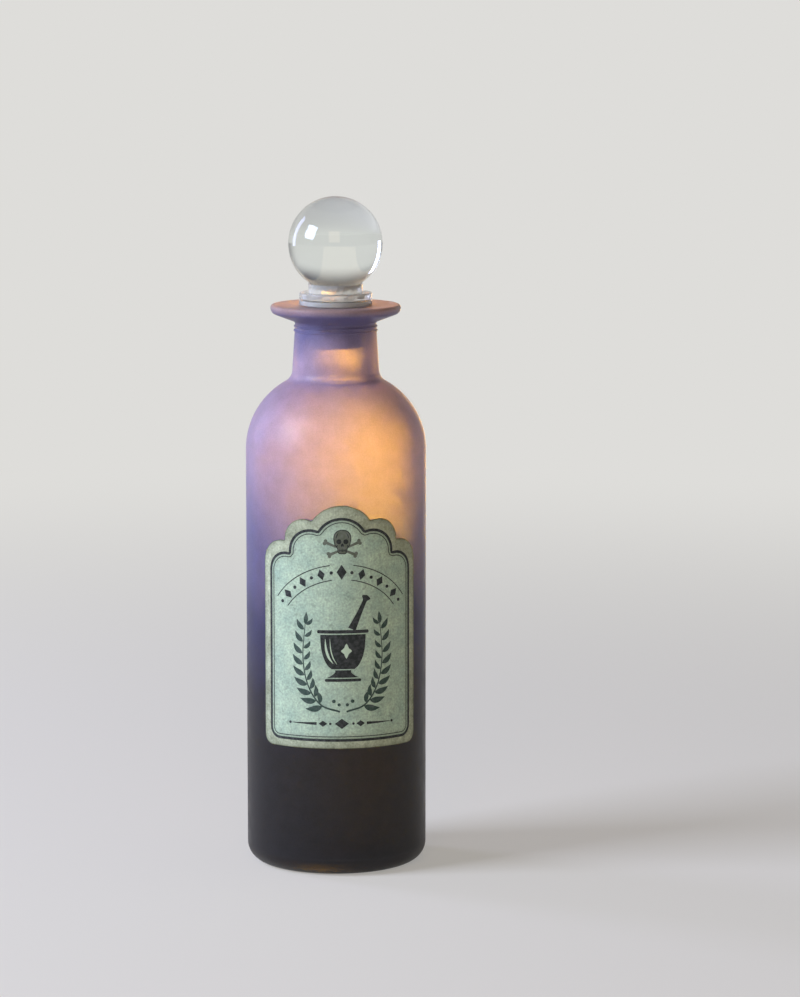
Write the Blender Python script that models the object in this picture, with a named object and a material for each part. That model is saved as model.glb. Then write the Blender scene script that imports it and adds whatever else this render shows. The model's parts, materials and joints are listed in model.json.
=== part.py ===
"""Apothecary potion bottle: a frosted glass bottle with a front label, and a stopper with a glass ball.

Sizes are in metres, +Z is up, the origin is the centre of the base and the label faces -Y.
"""

import math

import bmesh
import bpy
import numpy as np
from mathutils import Vector

# Bottle, outside
BOTTLE_HEIGHT = 0.209
BODY_RADIUS = 0.0335
SHOULDER_RADIUS = 0.029
NECK_LENGTH = 0.027
NECK_TOP_RADIUS = 0.015
NECK_FLARE = 0.0013
NECK_FILLET = 0.005
HEEL_RADIUS = 0.007
FOOT_WIDTH = 0.004
PUNT_RISE = 0.003

# Lip, and the fine rings moulded round the neck below it
LIP_OVERHANG = 0.00915
LIP_DEPTH = 0.006
LIP_RIM = 0.003
LIP_TOP_ROUND = 0.0012
LIP_UNDER_ROUND = 0.0024
LIP_DISH = 0.0005
LIP_ROOT_FILLET = 0.0012
SEAT_MARGIN = 0.0012
BEAD_RADIUS = 0.0004
BEAD_PITCH = 0.0016
BEAD_COUNT = 2

# Bottle, inside
WALL = 0.0032
NECK_WALL = 0.0035
FLOOR = 0.005
INNER_HEEL_RADIUS = 0.005
INNER_NECK_FILLET = 0.003
MOUTH_ROUND = 0.0008

# Label
LABEL_WIDTH = 0.0628
FOOT_TO_LABEL = 0.0486
LABEL_TO_SHOULDER = 0.0166
LABEL_THICKNESS = 0.0006
LABEL_CORNER = 0.004
SCALLOP_FILLET = 0.0005
LABEL_STRIP = 0.0034
# The scalloped head has a middle arc, and a side arc and a corner arc on each side. Each row is an
# arc's radius, and its centre's place across from the middle and down from the top, as shares of
# the label's half width.
SCALLOP_SHARES = (
    (0.414, 0, 0.414),
    (0.237, 0.452, 0.403),
    (0.262, 0.738, 0.691),
)

# Stopper
BALL_RADIUS = 0.0175
CUP_ANGLE = 33.5
CUP_RIM = 0.0003
RING_HEIGHT = 0.0032
DISC_OVERHANG = 0.002
DISC_HEIGHT = 0.0025
DISC_ROUND = 0.0005
PEG_ROUND = 0.001
FLANGE_HEIGHT = 0.0018
FLANGE_ROUND = 0.0003
BUNG_DEPTH = 0.016
BUNG_END = 0.0012
BUNG_WALL = 0.0015
BUNG_CHAMFER = 0.0006
FIN_REACH = 0.0014
FIN_ROOT = 0.0013
FIN_TIP = 0.0005
FIN_COUNT = 3

# Fits and facets
CLEARANCE = 0.0003
FACET_DEPTH = 0.00006
ROUND_STEPS = 48
BALL_SUBDIVISIONS = 4
WELD = 0.000001

# Worked out from the sizes above
BORE_RADIUS = NECK_TOP_RADIUS - NECK_WALL
NECK_FOOT_RADIUS = NECK_TOP_RADIUS + NECK_FLARE
LIP_RADIUS = NECK_TOP_RADIUS + LIP_OVERHANG
NECK_FOOT_HEIGHT = BOTTLE_HEIGHT - NECK_LENGTH
SHOULDER_CENTRE_RADIUS = BODY_RADIUS - SHOULDER_RADIUS
SHOULDER_HEIGHT = NECK_FOOT_HEIGHT - math.sqrt(
    SHOULDER_RADIUS**2 - (NECK_FOOT_RADIUS - SHOULDER_CENTRE_RADIUS) ** 2
)
DISC_RADIUS = BORE_RADIUS + DISC_OVERHANG
SLEEVE_RADIUS = BORE_RADIUS - CLEARANCE - FIN_REACH
SOCKET_RADIUS = SLEEVE_RADIUS - BUNG_WALL
PEG_RADIUS = SOCKET_RADIUS - CLEARANCE
FLANGE_TOP = CLEARANCE + FLANGE_HEIGHT
CUP_RADIUS = BALL_RADIUS + CLEARANCE


def arc(centre, radius, start, end):
    """Points of an arc in the (radius, height) plane, from start to end in degrees.

    The number of steps keeps each chord within the facet depth of the arc.
    """
    step = 2 * math.acos(1 - min(FACET_DEPTH / radius, 1))
    count = max(2, math.ceil(math.radians(abs(end - start)) / step))
    angles = np.radians(np.linspace(start, end, count + 1))
    return np.column_stack((np.cos(angles), np.sin(angles))) * radius + np.asarray(centre)


def rounded(before, corner, after, radius):
    """Points of an arc of this radius that rounds the corner between two straight runs."""
    before, corner, after = (np.asarray(point, float) for point in (before, corner, after))
    one = (before - corner) / np.linalg.norm(before - corner)
    two = (after - corner) / np.linalg.norm(after - corner)
    half = math.acos(np.clip(one @ two, -1, 1)) / 2
    middle = (one + two) / np.linalg.norm(one + two)
    centre = corner + middle * radius / math.sin(half)
    return between(centre, radius, corner + one * radius / math.tan(half),
                   corner + two * radius / math.tan(half))


def between(centre, radius, first, last):
    """Points of the shorter arc round a centre, from one point on it to another."""
    start, end = (
        math.degrees(math.atan2(*(np.asarray(point) - centre)[::-1])) for point in (first, last)
    )
    turn = (end - start + 180) % 360 - 180
    return arc(centre, radius, start, start + turn)


def fillet_to_arc(foot, direction, centre, radius, fillet):
    """A fillet from a straight side down to the outside of an arc below it.

    The fillet's centre lies one fillet radius outside the side and one outside the arc. Returns
    the fillet's points from the arc to the side.
    """
    direction = np.asarray(direction) / np.linalg.norm(direction)
    outward = np.array((direction[1], -direction[0]))
    start = np.asarray(foot) + outward * fillet - centre
    along = start @ direction
    reach = -along + math.sqrt(along**2 - start @ start + (radius + fillet) ** 2)
    middle = centre + start + direction * reach
    on_arc = centre + (middle - centre) * radius / (radius + fillet)
    return between(middle, fillet, on_arc, middle - outward * fillet)


def meeting(first, first_radius, second, second_radius):
    """The upper point where two circles meet."""
    across = np.asarray(second) - first
    distance = np.linalg.norm(across)
    along = (distance**2 + first_radius**2 - second_radius**2) / (2 * distance)
    aside = math.sqrt(first_radius**2 - along**2)
    unit = across / distance
    return np.asarray(first) + unit * along + np.array((-unit[1], unit[0])) * aside


def dome(rim_radius, rim_height, rise):
    """Points of a shallow dome, from its middle out to its rim."""
    radius = (rim_radius**2 + rise**2) / (2 * rise)
    edge = math.degrees(math.asin(rim_radius / radius))
    return arc((0, rim_height + rise - radius), radius, 90, 90 - edge)


def plain_material(name, colour, roughness, alpha=1):
    """A Principled material in a linear colour."""
    material = bpy.data.materials.new(name)
    material.use_nodes = True
    shader = material.node_tree.nodes["Principled BSDF"]
    shader.inputs["Base Color"].default_value = (*colour, 1)
    shader.inputs["Roughness"].default_value = roughness
    shader.inputs["Alpha"].default_value = alpha
    material.diffuse_color = (*colour, alpha)
    return material


def finished(name, shape, material, location=(0, 0, 0), parent=None):
    """An object from a bmesh, with its faces pointing out and its round stretches shaded smooth."""
    bmesh.ops.remove_doubles(shape, verts=shape.verts, dist=WELD)
    bmesh.ops.recalc_face_normals(shape, faces=shape.faces)
    mesh = bpy.data.meshes.new(name)
    shape.to_mesh(mesh)
    shape.free()
    mesh.materials.append(material)
    mesh.shade_smooth()
    mesh.set_sharp_from_angle(angle=math.radians(40))
    piece = bpy.data.objects.new(name, mesh)
    piece.location = location
    piece.parent = parent
    bpy.context.scene.collection.objects.link(piece)
    return piece


def turned(runs):
    """A bmesh turned once round the upright axis from runs of (radius, height) points."""
    shape = bmesh.new()
    points = [shape.verts.new((radius, 0, height)) for radius, height in np.vstack(list(runs))]
    edges = [shape.edges.new(pair) for pair in zip(points, points[1:])]
    bmesh.ops.spin(
        shape,
        geom=points + edges,
        axis=(0, 0, 1),
        cent=(0, 0, 0),
        angle=math.tau,
        steps=ROUND_STEPS,
        use_merge=True,
    )
    return shape


def bottle_outside():
    """The outside of the bottle from the middle of its base to the rim of its lip."""
    side_start = BODY_RADIUS - HEEL_RADIUS
    lip_root = BOTTLE_HEIGHT - LIP_DEPTH
    rim_top = BOTTLE_HEIGHT + LIP_DISH
    neck_foot = np.array((NECK_FOOT_RADIUS, NECK_FOOT_HEIGHT))
    neck_top = np.array((NECK_TOP_RADIUS, lip_root))
    shoulder = np.array((SHOULDER_CENTRE_RADIUS, SHOULDER_HEIGHT))
    neck = fillet_to_arc(
        neck_foot, neck_top - neck_foot, shoulder, SHOULDER_RADIUS, NECK_FILLET
    )
    yield dome(side_start - FOOT_WIDTH, 0, PUNT_RISE)
    yield arc((side_start, HEEL_RADIUS), HEEL_RADIUS, -90, 0)
    yield between(shoulder, SHOULDER_RADIUS, (BODY_RADIUS, SHOULDER_HEIGHT), neck[0])
    yield neck
    upward = (neck_top - neck_foot) / np.linalg.norm(neck_top - neck_foot)
    for row in range(BEAD_COUNT, 0, -1):
        middle = neck_top - upward * row * BEAD_PITCH
        yield arc(middle, BEAD_RADIUS, -90, 90)
    rim_under = (LIP_RADIUS, rim_top - LIP_RIM)
    yield rounded(neck_foot, neck_top, rim_under, LIP_ROOT_FILLET)
    yield rounded(neck_top, rim_under, (LIP_RADIUS, rim_top), LIP_UNDER_ROUND)
    yield rounded(rim_under, (LIP_RADIUS, rim_top), (0, rim_top), LIP_TOP_ROUND)


def bottle_inside():
    """The inside of the bottle from its seat, through the mouth, to the middle of its floor."""
    seat_edge = DISC_RADIUS + SEAT_MARGIN
    inner_radius = BODY_RADIUS - WALL
    inner_shoulder = SHOULDER_RADIUS - WALL
    shoulder = np.array((SHOULDER_CENTRE_RADIUS, SHOULDER_HEIGHT))
    bore = fillet_to_arc(
        (BORE_RADIUS, SHOULDER_HEIGHT), (0, 1), shoulder, inner_shoulder, INNER_NECK_FILLET
    )
    floor_edge = inner_radius - INNER_HEEL_RADIUS
    yield [(seat_edge, BOTTLE_HEIGHT)]
    yield rounded(
        (seat_edge, BOTTLE_HEIGHT), (BORE_RADIUS, BOTTLE_HEIGHT), (BORE_RADIUS, 0), MOUTH_ROUND
    )
    yield bore[::-1]
    yield between(shoulder, inner_shoulder, bore[0], (inner_radius, SHOULDER_HEIGHT))
    yield arc((floor_edge, FLOOR + INNER_HEEL_RADIUS), INNER_HEEL_RADIUS, 0, -90)
    yield dome(floor_edge, FLOOR, PUNT_RISE)[::-1]


def make_bottle():
    """The blown bottle: standing ring and punt, body, shoulder, neck, lip and its hollow."""
    glass = plain_material("frosted_purple_glass", (0.27, 0.2, 0.4), 0.45, alpha=0.8)
    shape = turned([*bottle_outside(), *bottle_inside()])
    return finished("bottle_glass", shape, glass)


def label_outline(half_width, bottom, top):
    """The label's flat outline, anticlockwise from the lower right corner, as (across, height)."""
    radii = [share * half_width for share, _, _ in SCALLOP_SHARES]
    centres = [
        np.array((across * half_width, top - down * half_width))
        for _, across, down in SCALLOP_SHARES
    ]
    start = np.array((half_width, centres[-1][1]))
    side = [
        rounded((0, bottom), (half_width, bottom), (half_width, top), LABEL_CORNER),
        [start],
    ]
    for row in range(len(radii) - 1, 0, -1):
        valley = meeting(
            centres[row - 1],
            radii[row - 1] + SCALLOP_FILLET,
            centres[row],
            radii[row] + SCALLOP_FILLET,
        )
        leave = centres[row] + (valley - centres[row]) * radii[row] / (
            radii[row] + SCALLOP_FILLET
        )
        arrive = centres[row - 1] + (valley - centres[row - 1]) * radii[row - 1] / (
            radii[row - 1] + SCALLOP_FILLET
        )
        side.append(between(centres[row], radii[row], start, leave))
        side.append(between(valley, SCALLOP_FILLET, leave, arrive))
        start = arrive
    side.append(between(centres[0], radii[0], start, (0, top)))
    right = np.vstack(side)
    left = right[-2::-1] * (-1, 1)
    return np.vstack((right, left))


def make_label(bottle):
    """The paper label, cut flat to its scalloped outline and bent round the body's front."""
    half_width = LABEL_WIDTH / 2
    inner_radius = BODY_RADIUS + CLEARANCE
    outline = label_outline(half_width, FOOT_TO_LABEL, SHOULDER_HEIGHT - LABEL_TO_SHOULDER)
    shape = bmesh.new()
    corners = [shape.verts.new((across, 0, height)) for across, height in outline]
    shape.faces.new(corners)
    bmesh.ops.remove_doubles(shape, verts=shape.verts, dist=WELD)
    strips = math.ceil(half_width / LABEL_STRIP)
    for row in range(1 - strips, strips):
        bmesh.ops.bisect_plane(
            shape,
            geom=shape.verts[:] + shape.edges[:] + shape.faces[:],
            dist=WELD,
            plane_co=(row * half_width / strips, 0, 0),
            plane_no=(1, 0, 0),
        )
    grown = bmesh.ops.extrude_face_region(shape, geom=shape.faces[:])
    front = [item for item in grown["geom"] if isinstance(item, bmesh.types.BMVert)]
    bmesh.ops.translate(shape, vec=(0, -LABEL_THICKNESS, 0), verts=front)
    bmesh.ops.triangulate(shape, faces=shape.faces[:])
    for vertex in shape.verts:
        angle = vertex.co.x / inner_radius
        radius = inner_radius - vertex.co.y
        vertex.co = Vector((radius * math.sin(angle), -radius * math.cos(angle), vertex.co.z))
    paper = plain_material("aged_label_paper", (0.39, 0.48, 0.41), 0.75)
    return finished("front_label", shape, paper, parent=bottle)


def bung_profile():
    """The bung's half outline, with height 0 at the bottle's seat."""
    bottom = CLEARANCE - BUNG_DEPTH
    sleeve_top = CLEARANCE
    yield [(0, bottom), (SLEEVE_RADIUS - BUNG_CHAMFER, bottom)]
    yield [(SLEEVE_RADIUS, bottom + BUNG_CHAMFER)]
    for row in range(1, FIN_COUNT + 1):
        middle = bottom + row * BUNG_DEPTH / (FIN_COUNT + 1)
        yield [
            (SLEEVE_RADIUS, middle - FIN_ROOT / 2),
            (SLEEVE_RADIUS + FIN_REACH, middle - FIN_TIP / 2),
            (SLEEVE_RADIUS + FIN_REACH, middle + FIN_TIP / 2),
            (SLEEVE_RADIUS, middle + FIN_ROOT / 2),
        ]
    under, over = (DISC_RADIUS, sleeve_top), (DISC_RADIUS, FLANGE_TOP)
    yield [(SLEEVE_RADIUS, sleeve_top)]
    yield rounded((0, sleeve_top), under, over, FLANGE_ROUND)
    yield rounded(under, over, (0, FLANGE_TOP), FLANGE_ROUND)
    yield [(SOCKET_RADIUS, FLANGE_TOP), (SOCKET_RADIUS, bottom + BUNG_END)]
    yield [(0, bottom + BUNG_END)]


def make_bung(bottle):
    """The clear plastic bung: a sleeve with grip fins under a thin flange."""
    plastic = plain_material("clear_soft_plastic", (0.82, 0.86, 0.84), 0.25, alpha=0.6)
    place = (0, 0, BOTTLE_HEIGHT)
    return finished("stopper_bung", turned(bung_profile()), plastic, place, bottle)


def collar_profile():
    """The collar's half outline, with height 0 at its disc's underside."""
    peg_end = BUNG_END + CLEARANCE - BUNG_DEPTH - FLANGE_HEIGHT
    cup_edge = CUP_RADIUS * math.sin(math.radians(CUP_ANGLE))
    ring_radius = cup_edge + CUP_RIM
    ring_top = DISC_HEIGHT + RING_HEIGHT
    under, over = (DISC_RADIUS, 0), (DISC_RADIUS, DISC_HEIGHT)
    yield [(0, peg_end)]
    yield rounded((0, peg_end), (PEG_RADIUS, peg_end), (PEG_RADIUS, 0), PEG_ROUND)
    yield [(PEG_RADIUS, 0)]
    yield rounded((0, 0), under, over, DISC_ROUND)
    yield rounded(under, over, (0, DISC_HEIGHT), DISC_ROUND)
    yield [(ring_radius, DISC_HEIGHT), (ring_radius, ring_top)]
    yield arc((0, ball_centre_height()), CUP_RADIUS, CUP_ANGLE - 90, -90)


def ball_centre_height():
    """The ball's centre above the collar disc's underside, where its cup holds the ball."""
    cup_drop = CUP_RADIUS * math.cos(math.radians(CUP_ANGLE))
    return DISC_HEIGHT + RING_HEIGHT + cup_drop


def make_collar(bung):
    """The clear collar: a disc and a cupped ring that carry the ball, and a peg in the bung."""
    glass = plain_material("clear_collar_glass", (0.86, 0.92, 0.9), 0.12, alpha=0.4)
    place = (0, 0, FLANGE_TOP + CLEARANCE)
    return finished("stopper_collar", turned(collar_profile()), glass, place, bung)


def make_ball(collar):
    """The solid glass ball, resting in the collar's cup."""
    glass = plain_material("clear_ball_glass", (0.86, 0.92, 0.9), 0.03, alpha=0.4)
    shape = bmesh.new()
    bmesh.ops.create_icosphere(shape, subdivisions=BALL_SUBDIVISIONS, radius=BALL_RADIUS)
    return finished("glass_ball", shape, glass, (0, 0, ball_centre_height()), collar)


def main():
    for old in list(bpy.data.objects):
        bpy.data.objects.remove(old)
    bottle = make_bottle()
    make_label(bottle)
    bung = make_bung(bottle)
    collar = make_collar(bung)
    make_ball(collar)


if __name__ == "__main__":
    main()
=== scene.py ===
"""The looks of the potion bottle: frosted bottle, printed label, clear stopper and a plain studio.

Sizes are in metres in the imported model's frame: +Z is up, the label faces -Y, and the origin is
the centre of the base.
"""

import json
import math

import bmesh
import bpy
import numpy as np
from bpy.props import FloatProperty, FloatVectorProperty, IntProperty, PointerProperty
from mathutils import Euler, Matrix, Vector

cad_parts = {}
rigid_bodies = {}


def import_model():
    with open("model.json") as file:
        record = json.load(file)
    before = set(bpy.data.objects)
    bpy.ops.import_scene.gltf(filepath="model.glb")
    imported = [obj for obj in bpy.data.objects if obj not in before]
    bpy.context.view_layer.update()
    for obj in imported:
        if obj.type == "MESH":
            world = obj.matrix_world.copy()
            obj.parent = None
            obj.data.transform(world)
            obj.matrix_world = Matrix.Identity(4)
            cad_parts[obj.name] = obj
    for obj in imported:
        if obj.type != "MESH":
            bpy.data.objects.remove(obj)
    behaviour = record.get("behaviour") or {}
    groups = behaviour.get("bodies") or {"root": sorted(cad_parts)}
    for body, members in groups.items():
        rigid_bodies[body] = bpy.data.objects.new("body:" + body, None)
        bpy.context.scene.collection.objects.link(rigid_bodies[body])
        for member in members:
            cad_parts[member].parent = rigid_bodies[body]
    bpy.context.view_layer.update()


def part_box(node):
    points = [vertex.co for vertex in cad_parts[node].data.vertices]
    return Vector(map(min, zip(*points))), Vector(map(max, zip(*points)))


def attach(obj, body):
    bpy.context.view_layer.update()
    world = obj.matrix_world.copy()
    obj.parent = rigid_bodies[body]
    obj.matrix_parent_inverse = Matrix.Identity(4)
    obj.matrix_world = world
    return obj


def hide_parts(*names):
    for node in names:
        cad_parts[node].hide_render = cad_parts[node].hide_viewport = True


bl_info = {
    "name": "Potion bottle",
    "version": (1, 0, 0),
    "blender": (4, 5, 0),
    "location": "3D View > Sidebar > Potion bottle",
    "description": "Dresses a frosted potion bottle with its label and glass stopper",
    "category": "Object",
}

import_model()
BOTTLE_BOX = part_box("bottle_glass")
LABEL_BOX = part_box("front_label")
COLLAR_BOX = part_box("stopper_collar")
BALL_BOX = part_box("glass_ball")

MM = 0.001
WELD = 0.000001  # closer points become one
SHARP_ANGLE = 38  # least angle in degrees at which an edge stays sharp
ARC_STEP = 0.0011  # longest step along an arc
ARC_TURN = 7.5  # its greatest turn, in degrees
BALL_STEPS = 96  # from the ball's foot to its top
SHEET_RINGS = 34  # from the middle of a sheet to its edge
EDGE_STEPS = 4  # round a sheet's edge
OUTLINE_STEP = 0.0006  # along the label's outlines
PRINT_STEP = 0.9  # widest cell of a print, in millimetres
TIP = 0.02  # half width at the ends of a pointed print, in millimetres
SENSOR_HEIGHT = 36  # of the camera, in millimetres
GLASS_IOR = 1.5
PLASTIC_IOR = 1.53

# The lacquer's colours, by the height as a share of the seat's height; the last stop, violet, is
# painted shade under the lip.
OMBRE = (
    (0.0, "aubergine"), (0.22, "aubergine"), (0.32, "plum"), (0.45, "slate"), (0.59, "violet"),
    (0.74, "lilac"), (0.9, "lilac"), (0.965, "violet"),
)

# Scallops from the middle out, as shares of the outline's half width: each one's radius, its
# place across, and how far it lies under the top
LABEL_SCALLOPS = (0.414, 0, 0.414), (0.237, 0.452, 0.403), (0.262, 0.738, 0.691)
BORDER_SCALLOPS = (0.341, 0, 0.341), (0.282, 0.411, 0.438), (0.2366, 0.7634, 0.71)
BORDER_SHARE = 0.889  # the border's half width as a share of the label's

# The middles of the prints: across from the label's middle, and up from the table
SKULL_CENTRE = (0.0003, 0.1247)
GARLAND_CENTRE = (0, 0.0865)
MORTAR_CENTRE = (0.0005, 0.0853)
RULE_CENTRE = (0, 0.0580)

# Each lamp's place, the height on the axis that it faces, its width and height, its watts, its
# spread in degrees and its colour
LAMPS = (
    ("key", (-1.6, -0.5, 1.0), 0.12, (0.9, 0.9), 44, 180, "#D0DEFF"),
    ("fill", (-0.2, -1.8, 0.9), 0.12, (0.9, 0.9), 5, 180, "#FFE4C2"),
    ("warm_back", (0.17, 0.9, 0.05), 0.115, (0.22, 0.08), 0.92, 60, "#FFC414"),
    ("warm_rim", (0.3, 0.9, 0.14), 0.15, (0.12, 0.3), 0.07, 60, "#FFB858"),
    ("warm_top", (0.15, 1.0, 0.85), 0.2, (0.3, 0.3), 5, 180, "#FFA040"),
    ("cool_back", (-0.9, 0.6, 0.5), 0.12, (0.25, 0.8), 4, 180, "#C6CEFF"),
)


# Colours and sizes that a user would change


def linear(colour):
    """An sRGB hex colour as linear red, green, blue and 1."""
    parts = (int(colour[place : place + 2], 16) / 255 for place in (1, 3, 5))
    return (*(c / 12.92 if c <= 0.04045 else ((c + 0.055) / 1.055) ** 2.4 for c in parts), 1)


def length(name, default, description):
    """A length in metres for the sidebar."""
    return FloatProperty(
        name=name, default=default, description=description, min=0, unit="LENGTH", precision=5
    )


def angle(name, default, description):
    """An angle for the sidebar, from degrees."""
    return FloatProperty(
        name=name, default=math.radians(default), description=description, subtype="ANGLE"
    )


def tint(name, default, description):
    """A colour for the sidebar, from its sRGB hex value."""
    return FloatVectorProperty(
        name=name, default=linear(default), description=description, size=4, min=0, max=1,
        subtype="COLOR",
    )


class BottleSizes(bpy.types.PropertyGroup):
    """Sizes of the blown bottle."""

    height: length("Seat height", 0.209, "From the table to the seat of the stopper")
    body_radius: length("Body radius", BOTTLE_BOX[1].x, "Radius of the straight side")
    shoulder_radius: length("Shoulder radius", 0.029, "Radius of the round shoulder")
    neck_length: length("Neck length", 0.027, "From the foot of the neck to the seat")
    neck_radius: length("Neck radius", 0.015, "Radius of the neck under the lip")
    neck_flare: length("Neck flare", 0.0013, "How much wider the neck is at its foot")
    neck_fillet: length("Neck fillet", 0.005, "Radius between the neck and the shoulder")
    heel_radius: length("Heel radius", 0.007, "Radius at the foot of the side")
    foot_width: length("Foot width", 0.004, "Width of the ring that the bottle stands on")
    punt_rise: length("Punt rise", 0.003, "Height of the dome under the base")
    lip_overhang: length("Lip overhang", 0.00915, "How far the lip stands out from the neck")
    lip_depth: length("Lip depth", 0.006, "Height of the flare under the seat")
    lip_rim: length("Lip rim", 0.003, "Height of the lip's edge")
    lip_top_round: length("Lip top round", 0.0012, "Radius at the top of the lip's edge")
    lip_under_round: length("Lip under round", 0.0024, "Radius at the foot of the lip's edge")
    lip_dish: length("Lip dish", 0.0005, "How deep the seat lies below the lip's edge")
    lip_root: length("Lip root", 0.0012, "Radius between the neck and the lip")
    seat_radius: length("Seat radius", 0.0147, "Radius of the flat seat under the stopper")
    bead_radius: length("Bead radius", 0.0004, "Radius of each fine ring on the neck")
    bead_pitch: length("Bead pitch", 0.0016, "From one fine ring to the next")
    bead_count: IntProperty(name="Beads", default=2, description="Fine rings on the neck")
    wall: length("Wall", 0.0032, "Thickness of the side")
    bore_radius: length("Bore radius", 0.0115, "Radius of the mouth")
    floor: length("Floor", 0.005, "Thickness of the base")
    inner_heel: length("Inner heel", 0.005, "Radius at the foot of the hollow")
    inner_fillet: length("Inner fillet", 0.003, "Radius between the bore and the hollow")
    mouth_round: length("Mouth round", 0.0008, "Radius at the edge of the mouth")
    segments: IntProperty(name="Segments", default=192, description="Steps round the axis")


class LabelSizes(bpy.types.PropertyGroup):
    """Sizes of the label and of what is printed on it."""

    half_width: length("Half width", 0.0314, "Half of the label's width, round the curve")
    bottom: length("Foot", LABEL_BOX[0].z, "Height of the label's lower edge")
    top: length("Top", LABEL_BOX[1].z, "Height of the label's highest point")
    corner: length("Corner radius", 0.004, "Radius of the lower corners")
    valley: length("Valley radius", 0.0005, "Radius between two scallops")
    glue: length("Glue gap", 0.0003, "From the glass to the back of the paper")
    paper: length("Paper", 0.00052, "Thickness of the paper")
    edge: length("Edge", 0.00016, "Radius of the paper's cut edge")
    ink: length("Ink", 0.00004, "How far the ink stands on the paper")
    border_corner: length("Border corner", 0.0038, "Radius of the border's lower corners")
    border_bottom: length("Border foot", 0.0518, "Height of the border's lowest line")
    border_top: length("Border top", 0.134, "Height of the border's highest point")
    border_valley: length("Border valley", 0.0006, "Radius between two of its scallops")
    thick_line: length("Thick line", 0.001, "Width of the border's outer line")
    thin_line: length("Thin line", 0.0003, "Width of the border's inner line")
    line_gap: length("Line gap", 0.0013, "From the middle of one line to the other's")


class StopperSizes(bpy.types.PropertyGroup):
    """Sizes of the stopper: bung, collar and ball."""

    disc_radius: length("Disc radius", COLLAR_BOX[1].x, "Radius of the collar's disc and flange")
    disc_height: length("Disc height", 0.0025, "Thickness of the collar's disc")
    disc_round: length("Disc round", 0.0005, "Radius at the disc's edges")
    ring_height: length("Ring height", 0.0032, "Height of the ring that holds the ball")
    cup_rim: length("Cup rim", 0.0003, "Width of the ring's top edge")
    peg_radius: length("Peg radius", 0.008, "Radius of the peg in the bung")
    peg_round: length("Peg round", 0.001, "Radius at the peg's end")
    ball_radius: length("Ball radius", BALL_BOX[1].x, "Radius of the glass ball")
    gap: length("Gap", 0.0003, "Room between two pieces that fit in each other")
    flange_height: length("Flange", 0.0018, "Thickness of the bung's flange")
    flange_round: length("Flange round", 0.0003, "Radius at the flange's edges")
    sleeve_radius: length("Sleeve radius", 0.0098, "Radius of the bung's sleeve")
    socket_radius: length("Socket radius", 0.0083, "Radius of the bung's hollow")
    bung_depth: length("Bung depth", 0.016, "Length of the bung in the neck")
    bung_end: length("Bung end", 0.0012, "Thickness of the bung's closed end")
    bung_chamfer: length("Bung chamfer", 0.0006, "Chamfer at the bung's end")
    fin_reach: length("Fin reach", 0.0014, "How far a grip fin stands out")
    fin_root: length("Fin root", 0.0013, "Thickness of a fin at the sleeve")
    fin_tip: length("Fin tip", 0.0005, "Thickness of a fin at its tip")
    fin_count: IntProperty(name="Fins", default=3, description="Grip fins on the bung")


class BottleFinishes(bpy.types.PropertyGroup):
    """Colours of the object's surfaces."""

    # Painted light: a lighter, warm colour on the lip's top, where light falls on it.
    painted_lip_light: tint("Mauve", "#C8A8A4", "The lacquer on top of the lip")
    lilac: tint("Lilac", "#BAA3C1", "The lacquer at the shoulder and neck")
    # Also the painted shade at the neck's top and under the lip.
    violet: tint("Violet", "#7A74A2", "The lacquer half way down")
    slate: tint("Slate violet", "#404068", "The lacquer beside the label's middle")
    plum: tint("Plum", "#2D2A3A", "The lacquer beside the label's foot")
    aubergine: tint("Aubergine", "#29272A", "The lacquer at the base")
    parchment: tint("Parchment", "#CED6B4", "The label's bare margin")
    stain: tint("Stain", "#80866A", "Stains along the label's edges")
    # Also the colour of the painted shadow along the label's cut edge.
    soil_and_edge_shade: tint("Soil", "#53563F", "Dirt in the paper's edges")
    panel: tint("Panel", "#C6DABA", "The label's printed ground")
    panel_shade: tint("Panel shade", "#A0B9A4", "Blotches on the printed ground")
    line_ink: tint("Line ink", "#141C18", "Border and ornament")
    leaf_ink: tint("Leaf ink", "#2D4639", "Leaves and mortar")
    bone_ink: tint("Bone ink", "#5F6653", "Skull and bones")
    clear: tint("Clear glass", "#F1F6F4", "The ball")
    pressed: tint("Pressed glass", "#FFFFF8", "The collar")
    bung: tint("Bung", "#F4F6F0", "Soft plastic of the bung")


class StudioSettings(bpy.types.PropertyGroup):
    """Camera, lamps and ground."""

    distance: length("Distance", 1.502, "From the bottle's axis to the camera, level")
    camera_height: length("Camera height", 0.351, "Height of the camera")
    camera_angle: angle("Camera angle", 3.3, "How far the camera stands round to the left")
    yaw: angle("Yaw", -4.21, "Turn of the camera")
    pitch: angle("Pitch", -8.12, "Tilt of the camera")
    lens: FloatProperty(
        name="Lens", default=146.9, unit="CAMERA", description="Focal length in millimetres"
    )
    ground: tint("Ground", "#DEDDDA", "Backdrop")
    floor: tint("Floor", "#FBF1E0", "Matt surface of the floor")
    ceiling: tint("Ceiling", "#50535A", "What glass shows at the sides, overhead and in front")
    ambient: tint("Ambient", "#625F5C", "Even light from all round")
    floor_radius: length("Floor radius", 6, "Radius of the floor")


# Flat shapes, as arrays of points in a plane


def unit(way):
    """The vector of length 1 along a way."""
    return way / np.linalg.norm(way)


def right_of(way):
    """A way turned a quarter turn to the right."""
    return np.array((way[1], -way[0]))


def arc(centre, radius, start, end):
    """Points at centre + radius (cos t, sin t), with t from start to end in degrees."""
    turn = abs(end - start)
    count = max(2, math.ceil(turn / ARC_TURN), math.ceil(math.radians(turn) * radius / ARC_STEP))
    t = np.radians(np.linspace(start, end, count + 1))
    return np.column_stack((np.cos(t), np.sin(t))) * radius + centre


def between(centre, radius, first, last):
    """Points of the shorter arc round a centre, from one point on it to another."""
    start, end = (
        math.degrees(math.atan2(*(np.asarray(point) - centre)[::-1])) for point in (first, last)
    )
    turn = (end - start + 180) % 360 - 180
    return arc(centre, radius, start, start + turn)


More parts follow.
